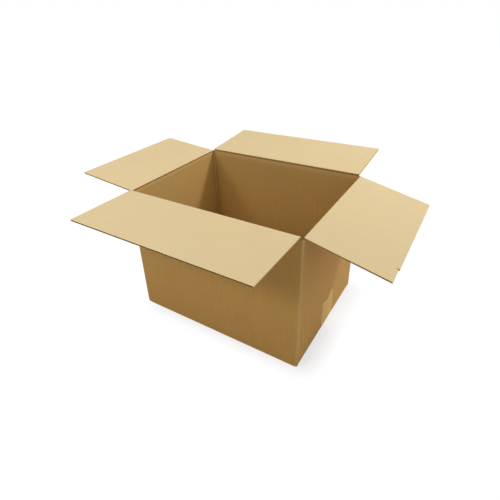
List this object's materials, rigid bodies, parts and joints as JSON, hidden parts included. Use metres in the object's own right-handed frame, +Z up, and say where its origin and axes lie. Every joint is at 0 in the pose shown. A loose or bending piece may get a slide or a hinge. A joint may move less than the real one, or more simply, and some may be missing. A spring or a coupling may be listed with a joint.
{
  "type": "corrugated shipping carton",
  "caption": "Plain kraft corrugated slotted carton standing open, with hinged top flaps folded out, a glued corner lap and paper tape along its bottom seam.",
  "frame": {"origin": "on the ground under the middle of the carton, at the middle of the taped bottom seam", "axes": "+X to the right along the long front wall, +Y from the front wall to the back wall, +Z up"},
  "size_m": [0.7017, 0.6105, 0.3188],
  "materials": {
    "kraft_board": "matt unbleached kraft paper faces, faint flute lines, bare cut edges",
    "kraft_tape": "smooth gummed kraft paper tape with a slight sheen"
  },
  "bodies": {
    "carton": {"carton_body": "kraft_board", "bottom_tape": "kraft_tape"},
    "front_flap": {"front_flap": "kraft_board"},
    "back_flap": {"back_flap": "kraft_board"},
    "left_flap": {"left_flap": "kraft_board"},
    "right_flap": {"right_flap": "kraft_board"}
  },
  "joints": [
    {"name": "front_flap_crease", "type": "hinge", "parent": "carton", "child": "front_flap", "pos_m": [0, -0.1545, 0.3036], "axis": [-1, 0, 0], "range_deg": [-65.3, 179.7]},
    {"name": "back_flap_crease", "type": "hinge", "parent": "carton", "child": "back_flap", "pos_m": [0, 0.1545, 0.3036], "axis": [1, 0, 0], "range_deg": [-70, 175]},
    {"name": "left_flap_crease", "type": "hinge", "parent": "carton", "child": "left_flap", "pos_m": [-0.202, 0, 0.3003], "axis": [0, 1, 0], "range_deg": [-70.3, 174.7]},
    {"name": "right_flap_crease", "type": "hinge", "parent": "carton", "child": "right_flap", "pos_m": [0.202, 0, 0.3003], "axis": [0, -1, 0], "range_deg": [-51.5, 193.5]}
  ]
}
